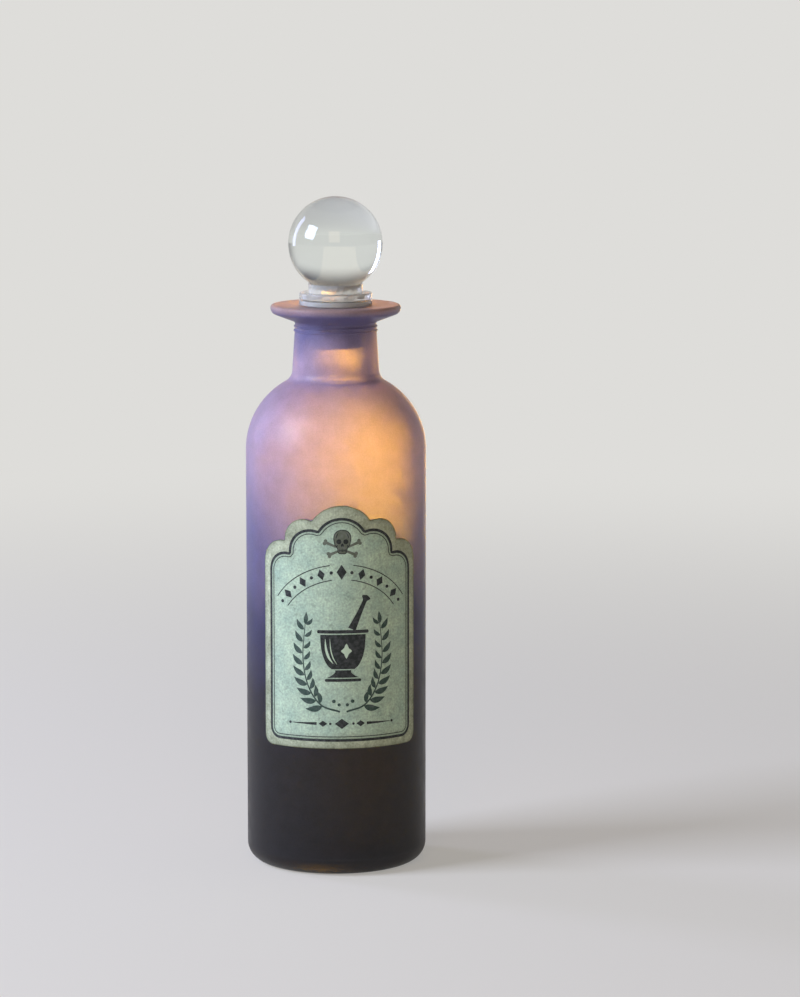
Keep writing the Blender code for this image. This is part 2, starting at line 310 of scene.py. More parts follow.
def rounded(before, corner, after, radius):
    """Points of an arc of this radius that touches both straight runs of a corner."""
    before, corner, after = (np.asarray(point, float) for point in (before, corner, after))
    one, two = unit(before - corner), unit(after - corner)
    half = math.acos(np.clip(one @ two, -1, 1)) / 2
    centre = corner + unit(one + two) * radius / math.sin(half)
    reach = radius / math.tan(half)
    return between(centre, radius, corner + one * reach, corner + two * reach)


def fillet_to_arc(foot, direction, centre, radius, fillet):
    """A fillet from the outside of an arc up to a straight side: its centre lies one fillet radius
    off the side and one off the arc."""
    direction = unit(np.asarray(direction))
    outward = right_of(direction)
    start = np.asarray(foot) + outward * fillet - centre
    along = start @ direction
    reach = -along + math.sqrt(along**2 - start @ start + (radius + fillet) ** 2)
    middle = centre + start + direction * reach
    on_arc = centre + (middle - centre) * radius / (radius + fillet)
    return between(middle, fillet, on_arc, middle - outward * fillet)


def dome(rim_radius, rim_height, rise):
    """Points of a shallow spherical dome, from its middle out to its rim."""
    radius = (rim_radius**2 + rise**2) / (2 * rise)
    edge = math.degrees(math.asin(rim_radius / radius))
    return arc((0, rim_height + rise - radius), radius, 90, 90 - edge)


def curve(points, count):
    """A smooth curve through the points: a cubic from each point to the next, whose slope at a
    point is half the way from the point before it to the one after."""
    points = np.asarray(points, float)
    points = np.vstack((2 * points[0] - points[1], points, 2 * points[-1] - points[-2]))
    spans = len(points) - 3
    place = np.linspace(0, spans, count)
    span = np.minimum(place.astype(int), spans - 1)
    t = (place - span)[:, None]
    a, b, c, d = (points[span + step] for step in range(4))
    return (
        2 * b + (c - a) * t + (2 * a - 5 * b + 4 * c - d) * t**2 + (3 * b - a - 3 * c + d) * t**3
    ) / 2


def sideways(path, closed=False):
    """The unit vector to the right of a path at each of its points."""
    if closed:
        ahead = np.roll(path, -1, axis=0) - np.roll(path, 1, axis=0)
    else:
        ahead = np.gradient(path, axis=0)
    ahead = ahead / np.linalg.norm(ahead, axis=1, keepdims=True)
    return np.column_stack((ahead[:, 1], -ahead[:, 0]))


def ribbon(path, half_width, closed=False):
    """A flat grid along a path: row i, column j lies at the path's point i plus u times the half
    width there to its right, with u from -1 to 1."""
    path = np.asarray(path, float)
    half = np.broadcast_to(half_width, len(path))
    columns = max(2, math.ceil(2 * half.max() / PRINT_STEP) + 1)
    across = np.linspace(-1, 1, columns)
    right = sideways(path, closed)
    return path[:, None] + right[:, None] * (half[:, None] * across)[:, :, None]


def mirrored(outline, centre=(0, 0), turn=0):
    """A flat grid filled between a half outline of (half width, height) and its mirror image,
    turned in degrees round the origin and then moved to the centre."""
    outline = np.asarray(outline, float)
    columns = max(3, math.ceil(2 * outline[:, 0].max() / PRINT_STEP) + 1)
    across = np.linspace(-1, 1, columns)
    grid = np.stack(
        (outline[:, :1] * across, np.broadcast_to(outline[:, 1:], (len(outline), columns))), -1
    )
    t = math.radians(turn)
    spin = np.array(((math.cos(t), math.sin(t)), (-math.sin(t), math.cos(t))))
    return grid @ spin + centre


# Skins: grids of points in space, whose columns close on themselves


def turned(profile, segments):
    """A profile of (radius, height) carried round the upright axis: at turn t its point lies at
    (radius sin t, -radius cos t, height)."""
    profile = np.vstack(list(profile))
    turn = np.arange(segments) * math.tau / segments
    radius, height = profile[:, :1], profile[:, 1:]
    across = radius * np.sin(turn)
    return np.stack((across, -radius * np.cos(turn), np.broadcast_to(height, across.shape)), -1)


def wrapped(flat, base, radius):
    """Flat points (across, height) bent round the axis: across is measured on the base radius, so
    a point lies at angle across / base, and at the given radius."""
    angle = flat[..., 0] / base
    return np.stack((radius * np.sin(angle), -radius * np.cos(angle), flat[..., 1]), -1)


def film(patch, base, low, high, closed=False):
    """A thin closed slab over a flat grid: each row goes across at the high radius and back at the
    low one, and at the ends of an open patch the row shrinks to its middle."""
    one, two = patch[1:, :-1] - patch[:-1, :-1], patch[:-1, 1:] - patch[:-1, :-1]
    if (two[..., 0] * one[..., 1] - two[..., 1] * one[..., 0]).sum() < 0:
        patch = patch[:, ::-1]
    loop = np.concatenate((wrapped(patch, base, high), wrapped(patch, base, low)[:, ::-1]), axis=1)
    if closed:
        return loop
    first, last = (np.broadcast_to(row.mean(0), row.shape)[None] for row in (loop[0], loop[-1]))
    return np.concatenate((first, loop, last))


def sheet_skin(outline, base, low, high, edge):
    """A closed sheet over a flat outline: rings grow from its middle to the edge at the high
    radius, a quarter round of the edge's size leads down, and rings shrink again at the low one."""
    outline = outline[::-1]
    middle = np.array((0, (outline[:, 1].min() + outline[:, 1].max()) / 2))
    inward = sideways(outline, closed=True)
    grow = np.linspace(0, 1, SHEET_RINGS + 1)[:, None, None]
    rows = [wrapped(middle + (outline + inward * edge - middle) * grow, base, high)]
    for turn in np.linspace(0, math.pi / 2, EDGE_STEPS + 1)[1:]:
        rim = outline + inward * edge * (1 - math.sin(turn))
        rows.append(wrapped(rim, base, high - edge * (1 - math.cos(turn)))[None])
    rows.append(wrapped(middle + (outline - middle) * grow[::-1], base, low))
    return np.concatenate(rows)


def add_piece(name, body, node, skins, materials):
    """One mesh from skins, on its body. Each skin is a grid of points, whether its rows close as
    its columns do, and the number of its material, or one number for each row of faces."""
    points, faces, numbers, start = [], [], [], 0
    for grid, closed, number in skins:
        rows, columns = grid.shape[:2]
        index = np.arange(start, start + rows * columns).reshape(rows, columns)
        start += rows * columns
        index = np.hstack((index, index[:, :1]))
        if closed:
            index = np.vstack((index, index[:1]))
        cells = (index[:-1, :-1], index[:-1, 1:], index[1:, 1:], index[1:, :-1])
        points.append(grid.reshape(-1, 3))
        faces.append(np.stack(cells, -1).reshape(-1, 4))
        numbers.append(np.repeat(np.broadcast_to(number, len(index) - 1), columns))
    mesh = bpy.data.meshes.new(name)
    mesh.from_pydata(np.vstack(points).tolist(), [], np.vstack(faces).tolist())
    mesh.polygons.foreach_set("material_index", np.concatenate(numbers).astype(np.int32))
    shape = bmesh.new()
    shape.from_mesh(mesh)
    bmesh.ops.remove_doubles(shape, verts=shape.verts, dist=WELD)
    bmesh.ops.dissolve_degenerate(shape, edges=shape.edges, dist=WELD)
    shape.to_mesh(mesh)
    shape.free()
    mesh.shade_smooth()
    mesh.set_sharp_from_angle(angle=math.radians(SHARP_ANGLE))
    for material in materials:
        mesh.materials.append(material)
    made = bpy.data.objects.new(name, mesh)
    bpy.context.scene.collection.objects.link(made)
    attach(made, body)
    if node:
        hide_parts(node)
    return made


def add_turned(scene, name, body, node, profile, material):
    """One piece with a single profile turned round the axis, in place of its plain node."""
    grid = turned(profile, scene.potion_bottle.segments)
    add_piece(name, body, node, [(grid, False, 0)], [material])


def add_print(scene, name, centre, *layers, closed=False):
    """One printed piece round a centre in metres, from layers of flat patches in millimetres, each
    with how far it stands out, as a share of the ink's thickness, and its ink."""
    back, face = paper_radii(scene)
    ink = scene.potion_label.ink
    skins = [
        (film(patch * MM + centre, back, face - ink / 2, face + ink * lift, closed), closed, number)
        for number, (patches, lift, _) in enumerate(layers)
        for patch in patches
    ]
    add_piece(name, "bottle", None, skins, [layer[2] for layer in layers])


def mark_edge(piece, outline, base):
    """Stores how far each point of a bent sheet lies from its outline, as attribute edge_gap."""
    places = np.empty(len(piece.data.vertices) * 3)
    piece.data.vertices.foreach_get("co", places)
    x, y, z = places.reshape(-1, 3).T
    flat = np.column_stack((np.arctan2(x, -y) * base, z))
    gap = np.linalg.norm(flat[:, None] - outline, axis=2).min(axis=1)
    piece.data.attributes.new("edge_gap", "FLOAT", "POINT").data.foreach_set("value", gap)


# Materials


def add(tree, kind, inputs=(), out=0, stops=(), **settings):
    """Adds a shader node with its settings, its colour stops and its inputs' values or links, and
    gives back its output. Map Range turns input 0 from the range 1 to 2 into the range 3 to 4, and
    Mix goes by input 0 from colour 6 to colour 7."""
    made = tree.nodes.new("ShaderNode" + kind)
    for name, value in settings.items():
        setattr(made, name, value)
    for number, (place, colour) in enumerate(stops):
        elements = made.color_ramp.elements
        stop = elements[number] if number < len(elements) else elements.new(place)
        stop.position, stop.color = place, colour
    for name, value in dict(inputs).items():
        if isinstance(value, bpy.types.NodeSocket):
            tree.links.new(value, made.inputs[name])
        else:
            made.inputs[name].default_value = value
    return made.outputs[out] if made.outputs else None


def new_material(name):
    """An empty material, its node tree and its Object coordinates."""
    material = bpy.data.materials.new(name)
    material.use_nodes = True
    tree = material.node_tree
    tree.nodes.clear()
    return material, tree, add(tree, "TexCoord", out="Object")


def finished(material, **inputs):
    """Closes a material with a Principled shader; an input's name has _ for each space."""
    tree = material.node_tree
    named = {name.replace("_", " "): value for name, value in inputs.items()}
    add(tree, "OutputMaterial", {0: add(tree, "BsdfPrincipled", named)})
    return material


def cloudy(place, size, detail):
    """The inputs of a noise whose features are about this many millimetres across."""
    return {"Vector": place, "Scale": 1000 / size, "Detail": detail}


def stretched(noise, low, high):
    """The inputs that stretch a noise, most of which lies from 0.3 to 0.7, from low to high."""
    return {0: noise, 1: 0.3, 2: 0.7, 3: low, 4: high}


def frosted_glass(colours, sizes):
    """Soda-lime glass with an acid-frosted, sprayed outside: a satin surface with a fine grain,
    which lets blurred light through and shades from lilac down to aubergine."""
    material, tree, place = new_material("frosted_soda_lime_glass")
    height = add(tree, "SeparateXYZ", {0: place}, "Z")
    # The shading's edge drifts up and down by 6 mm.
    drift = add(tree, "TexNoise", cloudy(place, 26, 2))
    moved = add(tree, "MapRange", stretched(drift, -0.006, 0.006))
    lifted = add(tree, "Math", {0: height, 1: moved}, operation="ADD")
    share = add(tree, "Math", {0: lifted, 1: sizes.height}, operation="DIVIDE")
    stops = [(up, getattr(colours, name)) for up, name in OMBRE]
    ombre = add(tree, "ValToRGB", {0: share}, stops=stops)
    # Painted light: the top of the lip turns to a lighter, warm colour, as where light falls on it,
    # from 2.4 mm under the seat's height upwards.
    top = add(tree, "MapRange", {0: height, 1: sizes.height - 0.0024, 2: sizes.height - 0.0002})
    lacquer = add(tree, "Mix", {0: top, 6: ombre, 7: colours.painted_lip_light}, 2, data_type="RGBA")
    mottle = add(tree, "TexNoise", cloudy(place, 5, 5))
    # The real grain of an acid frosting is about 0.05 mm; it is drawn 0.5 mm wide so that it shows.
    grain = add(tree, "TexNoise", cloudy(place, 0.5, 2))
    uneven = add(tree, "Math", {0: mottle, 1: grain}, operation="ADD")
    light = add(tree, "MapRange", {0: uneven, 1: 0.6, 2: 1.4, 3: 0.8, 4: 1.2})
    colour = add(tree, "VectorMath", {0: lacquer, "Scale": light}, operation="SCALE")
    rough = add(tree, "MapRange", stretched(mottle, 0.36, 0.46))
    bump = add(tree, "Bump", {"Height": grain, "Strength": 0.4, "Distance": 0.00008})
    return finished(
        material, Base_Color=colour, Roughness=rough, IOR=GLASS_IOR, Specular_IOR_Level=0.12,
        Transmission_Weight=0.46, Normal=bump,
    )


def bare_glass(name, colour, roughness, clarity=1.0, wave=9, depth=0.0002):
    """Soda-lime glass, nearly colourless, with waves in its skin. Below full clarity it is cloudy
    with fine bubbles, which shows as a white bloom."""
    material, tree, place = new_material(name)
    waves = add(tree, "TexNoise", cloudy(place, wave, 1))
    bump = add(tree, "Bump", {"Height": waves, "Strength": 0.2, "Distance": depth})
    rough = add(tree, "MapRange", stretched(waves, roughness * 0.6, roughness))
    return finished(
        material, Base_Color=colour, Roughness=rough, IOR=GLASS_IOR, Transmission_Weight=clarity,
        Normal=bump,
    )


def paper_stock(name, ground, shade, dirt_and_edge_shade, blotch, worn_edge, soiling):
    """Uncoated, aged label stock: matt and cloudy, with short fibres and foxing specks, and
    soiled along its edges over the given width, with a painted shadow along its cut edge."""
    material, tree, place = new_material(name)
    cloud = add(tree, "TexNoise", {**cloudy(place, blotch, 7), "Roughness": 0.66})
    tone = add(tree, "MapRange", {0: cloud, 1: 0.32, 2: 0.74})
    mixed = add(tree, "Mix", {0: tone, 6: ground, 7: shade}, 2, data_type="RGBA")
    # Clouds make the soiled band ragged. The cut edge is darker still, fading out 0.6 mm in: a
    # painted shadow along the paper's edge.
    gap = add(tree, "Attribute", out="Fac", attribute_name="edge_gap")
    ragged = add(tree, "Math", {0: cloud, 1: worn_edge * 1.6, 2: gap}, operation="MULTIPLY_ADD")
    soiled = add(
        tree, "MapRange", {0: ragged, 1: worn_edge * 0.7, 2: worn_edge * 1.9, 3: soiling, 4: 0},
        interpolation_type="SMOOTHSTEP",
    )
    # Painted shadow: the paper is darkened towards the dirt colour within 0.6 mm of its cut edge.
    cut = add(tree, "MapRange", {0: gap, 1: 0.00015, 2: 0.0006, 3: 0.75, 4: 0})
    soil_and_edge_shadow = add(tree, "Math", {0: soiled, 1: cut}, operation="MAXIMUM")
    aged = add(tree, "Mix", {0: soil_and_edge_shadow, 6: mixed, 7: dirt_and_edge_shade}, 2, data_type="RGBA")
    # Real paper fibres are about 0.03 mm wide; they are drawn 0.7 mm wide so that they show.
    fibre = add(tree, "TexNoise", cloudy(place, 0.7, 4))
    grain = add(tree, "MapRange", stretched(fibre, 0.76, 1.18))
    speck = add(tree, "TexNoise", cloudy(place, 1.6, 1))
    # Only the highest values make specks, which are a fifth darker.
    spots = add(tree, "MapRange", {0: speck, 1: 0.6, 2: 0.72, 3: 1.0, 4: 0.8})
    toned = add(tree, "Math", {0: grain, 1: spots}, operation="MULTIPLY")
    colour = add(tree, "VectorMath", {0: aged, "Scale": toned}, operation="SCALE")
    bump = add(tree, "Bump", {"Height": fibre, "Strength": 0.35, "Distance": 0.00006})
    return finished(material, Base_Color=colour, Roughness=0.72, Normal=bump)


def printing_ink(name, colour, worn):
    """Flat offset ink soaked into paper: matt, a little uneven, with paler worn spots."""
    material, tree, place = new_material(name)
    patchy = add(tree, "TexNoise", cloudy(place, 1.2, 4))
    # Where the ink is worn, the pale paper shows through it.
    faded = add(tree, "MapRange", {0: patchy, 1: 0.4, 2: 0.75, 3: 0.0, 4: worn})
    pale = (*(0.6 * part + 0.25 for part in colour[:3]), 1)
    mixed = add(tree, "Mix", {0: faded, 6: colour, 7: pale}, 2, data_type="RGBA")
    return finished(material, Base_Color=mixed, Roughness=0.6)


def soft_plastic(colour):
    """Injection-moulded clear soft plastic: glossy but slightly milky."""
    material, tree, place = new_material("clear_soft_pvc")
    haze = add(tree, "TexNoise", cloudy(place, 3, 2))
    rough = add(tree, "MapRange", stretched(haze, 0.08, 0.14))
    return finished(
        material, Base_Color=colour, Roughness=rough, IOR=PLASTIC_IOR, Transmission_Weight=0.6
    )


# Shapes of the bottle and the stopper


def shoulder_circle(sizes):
    """The centre, in (radius, height), of the circle that makes the round shoulder."""
    across = sizes.body_radius - sizes.shoulder_radius
    foot = sizes.height - sizes.neck_length
    foot_radius = sizes.neck_radius + sizes.neck_flare
    return np.array(
        (across, foot - math.sqrt(sizes.shoulder_radius**2 - (foot_radius - across) ** 2))
    )


def bottle_outside(sizes):
    """The outside from the middle of the base to the edge of the seat: dome, heel, side, shoulder,
    neck with its fine rings, and the flared lip."""
    side_start = sizes.body_radius - sizes.heel_radius
    rim_top = sizes.height + sizes.lip_dish
    neck_foot = np.array((sizes.neck_radius + sizes.neck_flare, sizes.height - sizes.neck_length))
    neck_top = np.array((sizes.neck_radius, sizes.height - sizes.lip_depth))
    lip_radius = sizes.neck_radius + sizes.lip_overhang
    shoulder = shoulder_circle(sizes)
    neck = fillet_to_arc(
        neck_foot, neck_top - neck_foot, shoulder, sizes.shoulder_radius, sizes.neck_fillet
    )
    yield dome(side_start - sizes.foot_width, 0, sizes.punt_rise)
    yield arc((side_start, sizes.heel_radius), sizes.heel_radius, -90, 0)
    yield between(shoulder, sizes.shoulder_radius, (sizes.body_radius, shoulder[1]), neck[0])
    yield neck
    for row in range(sizes.bead_count, 0, -1):
        middle = neck_top - unit(neck_top - neck_foot) * row * sizes.bead_pitch
        yield arc(middle, sizes.bead_radius, -90, 90)
    rim_under = (lip_radius, rim_top - sizes.lip_rim)
    yield rounded(neck_foot, neck_top, rim_under, sizes.lip_root)
    yield rounded(neck_top, rim_under, (lip_radius, rim_top), sizes.lip_under_round)
    yield rounded(rim_under, (lip_radius, rim_top), (0, rim_top), sizes.lip_top_round)
    yield [(sizes.seat_radius, sizes.height)]


def bottle_inside(sizes):
    """The inside from the edge of the mouth down the bore and the hollow to its floor."""
    inner_radius = sizes.body_radius - sizes.wall
    inner_shoulder = sizes.shoulder_radius - sizes.wall
    shoulder = shoulder_circle(sizes)
    bore = fillet_to_arc(
        (sizes.bore_radius, shoulder[1]), (0, 1), shoulder, inner_shoulder, sizes.inner_fillet
    )
    floor_edge = inner_radius - sizes.inner_heel
    yield rounded(
        (sizes.seat_radius, sizes.height), (sizes.bore_radius, sizes.height),
        (sizes.bore_radius, 0), sizes.mouth_round,
    )
    yield bore[::-1]
    yield between(shoulder, inner_shoulder, bore[0], (inner_radius, shoulder[1]))
    yield arc((floor_edge, sizes.floor + sizes.inner_heel), sizes.inner_heel, 0, -90)
    yield dome(floor_edge, sizes.floor, sizes.punt_rise)[::-1]


def bung_profile(sizes, seat):
    """The bung's half outline: closed end, sleeve with fins, flange and hollow."""
    bottom = seat + sizes.gap - sizes.bung_depth
    under, over = seat + sizes.gap, seat + sizes.gap + sizes.flange_height
    radius, sleeve = sizes.disc_radius, sizes.sleeve_radius
    yield [(0, bottom), (sleeve - sizes.bung_chamfer, bottom)]
    yield [(sleeve, bottom + sizes.bung_chamfer)]
    for row in range(1, sizes.fin_count + 1):
        middle = bottom + row * sizes.bung_depth / (sizes.fin_count + 1)
        yield [
            (sleeve, middle - sizes.fin_root / 2),
            (sleeve + sizes.fin_reach, middle - sizes.fin_tip / 2),
            (sleeve + sizes.fin_reach, middle + sizes.fin_tip / 2),
            (sleeve, middle + sizes.fin_root / 2),
        ]
    yield [(sleeve, under)]
    yield rounded((0, under), (radius, under), (radius, over), sizes.flange_round)
    yield rounded((radius, under), (radius, over), (0, over), sizes.flange_round)
    yield [(sizes.socket_radius, over), (sizes.socket_radius, bottom + sizes.bung_end)]
    yield [(0, bottom + sizes.bung_end)]


def ball_centre(sizes):
    """The ball's centre, in (radius, height)."""
    return np.array((0, BALL_BOX[1].z - sizes.ball_radius))


def ball_profile(sizes):
    """The ball's half outline: a half circle whose ends lie on the axis."""
    t = np.radians(np.linspace(-90, 90, BALL_STEPS + 1))
    profile = np.column_stack((np.cos(t), np.sin(t))) * sizes.ball_radius + ball_centre(sizes)
    profile[[0, -1], 0] = 0
    yield profile


def collar_profile(sizes, seat):
    """The collar's half outline: peg, disc, and the cupped ring under the ball."""
    low, ball = COLLAR_BOX[0].z, ball_centre(sizes)
    disc = seat + 2 * sizes.gap + sizes.flange_height
    top, radius = disc + sizes.disc_height, sizes.disc_radius
    cup_radius = sizes.ball_radius + sizes.gap
    ring_top = top + sizes.ring_height
    cup_edge = math.sqrt(cup_radius**2 - (ball[1] - ring_top) ** 2)
    ring_radius = cup_edge + sizes.cup_rim
    yield [(0, low)]
    yield rounded((0, low), (sizes.peg_radius, low), (sizes.peg_radius, disc), sizes.peg_round)
    yield [(sizes.peg_radius, disc)]
    yield rounded((0, disc), (radius, disc), (radius, top), sizes.disc_round)
    yield rounded((radius, disc), (radius, top), (0, top), sizes.disc_round)
    yield [(ring_radius, top), (ring_radius, ring_top)]
    yield between(ball, cup_radius, (cup_edge, ring_top), (0, ball[1] - cup_radius))


# Outlines of the label


def meeting(first, first_radius, second, second_radius):
    """The upper point where two circles meet."""
    across = second - first
    distance = np.linalg.norm(across)
    along = (distance**2 + first_radius**2 - second_radius**2) / (2 * distance)
    aside = math.sqrt(first_radius**2 - along**2)
    ahead = across / distance
    return first + ahead * along + np.array((-ahead[1], ahead[0])) * aside


def scalloped(half, bottom, top, corner, valley, shares):
    """A closed outline, anticlockwise: straight foot and sides with round corners, and a head of
    arcs, whose sizes are shares of the half width, with a small arc in each valley between two."""
    centres = [np.array((across * half, top - down * half)) for _, across, down in shares]
    radii = [radius * half for radius, _, _ in shares]
    start = np.array((half, centres[-1][1]))
    side = [rounded((0, bottom), (half, bottom), (half, top), corner), [start]]
    for row in range(len(radii) - 1, 0, -1):
        inner = row - 1
        middle = meeting(centres[inner], radii[inner] + valley, centres[row], radii[row] + valley)
        leave, arrive = (
            centres[end] + (middle - centres[end]) * radii[end] / (radii[end] + valley)
            for end in (row, inner)
        )
        side += [between(centres[row], radii[row], start, leave)]
        side += [between(middle, valley, leave, arrive)]
        start = arrive
    side += [between(centres[0], radii[0], start, (0, top))]
    right = np.vstack(side)
    closed = np.vstack((right, right[-2::-1] * (-1, 1)))
    return evenly(np.vstack((closed, closed[:1])), OUTLINE_STEP)[:-1]


def evenly(path, spacing):
    """The path's points moved to equal steps along it."""
    steps = np.linalg.norm(np.diff(path, axis=0), axis=1)
    along = np.concatenate(((0,), np.cumsum(steps)))
    keep = np.concatenate(((True,), steps > WELD))
    along, path = along[keep], path[keep]
    places = np.linspace(0, along[-1], math.ceil(along[-1] / spacing) + 1)
    return np.column_stack([np.interp(places, along, path[:, axis]) for axis in (0, 1)])


def label_outline(sizes):
    """The label's own outline."""
    return scalloped(
        sizes.half_width, sizes.bottom, sizes.top, sizes.corner, sizes.valley, LABEL_SCALLOPS
    )


def border_outline(sizes):
    """The printed border's thick line, whose scallops are rounder than the label's own."""
    return scalloped(
        sizes.half_width * BORDER_SHARE, sizes.border_bottom, sizes.border_top,
        sizes.border_corner, sizes.border_valley, BORDER_SCALLOPS,
    )


def border_lines(sizes):
    """The border's two lines, as closed ribbons in millimetres."""
    outer = border_outline(sizes)
    inner = outer - sideways(outer, closed=True) * sizes.line_gap
    return [
        ribbon(path / MM, width / 2 / MM, closed=True)
        for path, width in ((outer, sizes.thick_line), (inner, sizes.thin_line))
    ]


def paper_radii(scene):
    """The radii of the paper's back and of its face."""
    back = scene.potion_bottle.body_radius + scene.potion_label.glue
    return back, back + scene.potion_label.paper


# Printed motifs, in millimetres: across from the label's middle, and up from each motif's centre


def ellipse(centre, half_width, half_height, turn=0):
    """A filled ellipse: its half width at angle t is cos t, at height sin t."""
    t = np.radians(np.linspace(-90, 90, 13))
    outline = np.column_stack((np.cos(t) * half_width, np.sin(t) * half_height))
    return mirrored(outline, centre, turn)


def dot(centre, radius):
    """A filled circle."""
    return ellipse(centre, radius, radius)


def lozenge(centre, half_width, half_height, turn=0):
    """A diamond with straight sides."""
    return mirrored(((0, -half_height), (half_width, 0), (0, half_height)), centre, turn)


def leaf(foot, tip, half_width, bend):
    """A pointed leaf from foot to tip: its midrib bows aside by the bend, and its half width is
    greatest a third of the way up, as sin(pi s^0.75)."""
    foot, along = np.asarray(foot, float), np.subtract(tip, foot)
    aside = right_of(along) / np.linalg.norm(along)
    s = np.linspace(0, 1, 15)
    path = foot + along * s[:, None] + aside * bend * np.sin(math.pi * s)[:, None]
    return ribbon(path, half_width * np.sin(math.pi * s**0.75) + TIP)


def skull_motif():
    """A plain skull over two crossed bones. Returns its grey patches and its dark ones."""
    grey, dark = [], []
    for side in (-1, 1):
        far, near = np.array((6.1 * side, 0.7)), np.array((-4.7 * side, -3.9))
        t = np.linspace(0, 1, 25)
        grey.append(ribbon(near + (far - near) * t[:, None], 0.38 + 0.2 * np.abs(2 * t - 1) ** 2))
        along = unit(far - near)
        for end, outward in ((far, along), (near, -along)):
            for hand in (-1, 1):
                grey.append(dot(end + outward * 0.15 + right_of(along) * hand * 0.52, 0.66))
    head = curve(
        (
            (0.0, -3.75), (1.05, -3.65), (1.5, -3.15), (1.68, -2.1), (1.95, -1.3), (2.6, -0.6),
            (2.88, 0.4), (3.1, 1.75), (2.95, 3.1), (2.25, 4.25), (1.2, 4.88), (0.0, 5.05),
        ),
        60,
    )
    head[:, 0] = np.maximum(head[:, 0], 0)
    middle = np.array((0, 0.2))
    grey.append(mirrored(head, middle))
    edge = np.vstack((head, head[-2::-1] * (-1, 1))) + middle
    dark.append(ribbon(evenly(edge, 0.3), 0.15))
    for side in (-1, 1):
        dark += [
            ellipse((1.25 * side, 0.95), 0.9, 0.92, -14 * side),
            leaf((0.32 * side, -0.95), (0.06 * side, 0.35), 0.28, 0.03 * side),
            ellipse((1.95 * side, -0.65), 0.2, 0.45, 18 * side),
            leaf((2.35 * side, 2.1), (1.3 * side, 4.3), 0.16, 0.14 * side),
        ]
    tooth = ((0.0, -0.55), (0.11, -0.42), (0.11, 0.42), (0.0, 0.55))
    dark += [mirrored(tooth, (place, -2.35)) for place in np.linspace(-1.05, 1.05, 5)]
    dark.append(ribbon(curve(((-1.35, -2.15), (0, -2.4), (1.35, -2.15)), 9), 0.1))
    return grey, dark


def garland_motif():
    """A garland along an arch between two fine lines: diamonds with a dot between each two, and a
    bigger diamond in the middle."""
    patches, radius, reach, count = [], 27.9, 54, 15
    for number, place in enumerate(np.linspace(-reach, reach, count)):
        t = math.radians(place)
        centre = (radius * math.sin(t), radius * math.cos(t))
        if number % 2:
            grown = 1.75 if number == count // 2 else 1.3
            patches.append(lozenge(centre, 1.05 * grown, 1.6 * grown, -place))
        else:
            patches.append(dot(centre, 0.62))
    for side in (-1, 1):
        t = np.radians(np.linspace(8, reach, 40)) * side
        way = np.column_stack((np.sin(t), np.cos(t)))
        patches += [ribbon(way * (radius + offset), 0.17) for offset in (-2.75, 2.75)]
    return patches


def rule_motif():
    """A rule across the foot: tapered lines, dots and small diamonds on both sides of a big one."""
    patches = [lozenge((0, 0), 2.6, 1.9)]
    t = np.linspace(0, 1, 16)
    for side in (-1, 1):
        path = np.column_stack((side * (9.2 + 9.4 * t), np.zeros(16)))
        patches += [
            ribbon(path, 0.44 * (1 - t) + 0.1), dot((19.4 * side, 0), 0.5),
            lozenge((6.9 * side, 0), 1.6, 1.15), dot((4.2 * side, 0), 0.48),
        ]
    return patches


def mortar_motif():
    """A mortar with a leaning pestle. Returns its dark patches and the pale lines cut in them."""
    pestle = curve(((3.2, 7.9), (5.4, 12.6), (7.6, 17.4), (8.9, 20.3)), 40)
    s = np.linspace(0, 1, len(pestle))
    # The pestle narrows as a sine, swells as a bell curve to its knob, and is rounded at its end.
    half = 1.5 - 0.75 * np.sin(math.pi * np.minimum(s * 1.3, 1) / 2)
    half = half + 0.95 * np.exp(-(((s - 0.9) / 0.09) ** 2))
    half = half * np.sqrt(np.clip((1 - s) / 0.06, 0.02, 1))
    bowl = curve(((4.2, -6.9), (5.6, -5.6), (7.0, -3.0), (7.9, 0.4), (8.25, 4.0), (8.3, 5.9)), 40)
    foot = curve(((2.9, -7.3), (3.0, -8.2), (4.4, -9.4), (5.9, -10.1)), 16)[::-1]
    dark = [
        ribbon(pestle, half),
        mirrored(np.vstack(((0, -6.9), bowl, (0, 5.9)))),
        mirrored(((0, 6.35), (9.2, 6.35), (9.5, 6.9), (9.2, 7.6), (0, 7.6))),
        mirrored(np.vstack(((0, -10.1), foot, (0, -7.3)))),
        mirrored(((0, -11.6), (6.4, -11.6), (6.7, -11.0), (6.3, -10.5), (0, -10.5))),
    ]
    swell = np.sin(math.pi * np.linspace(0.02, 0.98, 24))
    pale = [
        ribbon(curve(line, 24), width * swell + TIP)
        for line, width in (
            (((-3.6, -4.9), (-5.2, -2.6), (-6.2, 0.6), (-6.5, 4.3)), 0.42),
            (((-2.2, -5.2), (-3.6, -2.8), (-4.5, 0.4), (-4.8, 4.3)), 0.18),
        )
    ]
    return dark, [*pale, lozenge((1.2, -0.2), 2.0, 2.8)]


def sprig_motif():
    """Two laurel sprigs that rise from below the mortar and curve up on both sides of it, with
    leaves by turns on the outer and the inner side and a few berries."""
    patches = []
    points = np.array(((1.2, -22.8), (8.2, -20.2), (13.0, -12.8), (14.8, -2.4), (13.9, 9.6)))
    for side in (-1, 1):
        stem = curve(points * (side, 1), 121)
        patches.append(ribbon(stem, np.linspace(0.36, 0.14, len(stem))))
        for number, place in enumerate(range(27, 116, 11)):
            ahead = unit(stem[place + 1] - stem[place - 1])
            for hand in (-1, 1):
                outer, out = hand == side, right_of(ahead) * hand
                foot = stem[place if outer else place + 5]
                size = (6.4 if outer else 4.8) * (1 - 0.03 * number)
                tip = foot + (ahead * 0.72 + out * 0.7) * size
                patches.append(leaf(foot + out * 0.25, tip, size * 0.18, 0.5 * hand))
        patches += [
            leaf(stem[-1], stem[-1] + (stem[-1] - stem[-8]) * 1.6, 0.8, 0.1),
            dot((3.4 * side, -18.9), 0.68), dot((1.5 * side, -20.2), 0.6),
        ]
    return patches


# One operator for each piece or group of like pieces


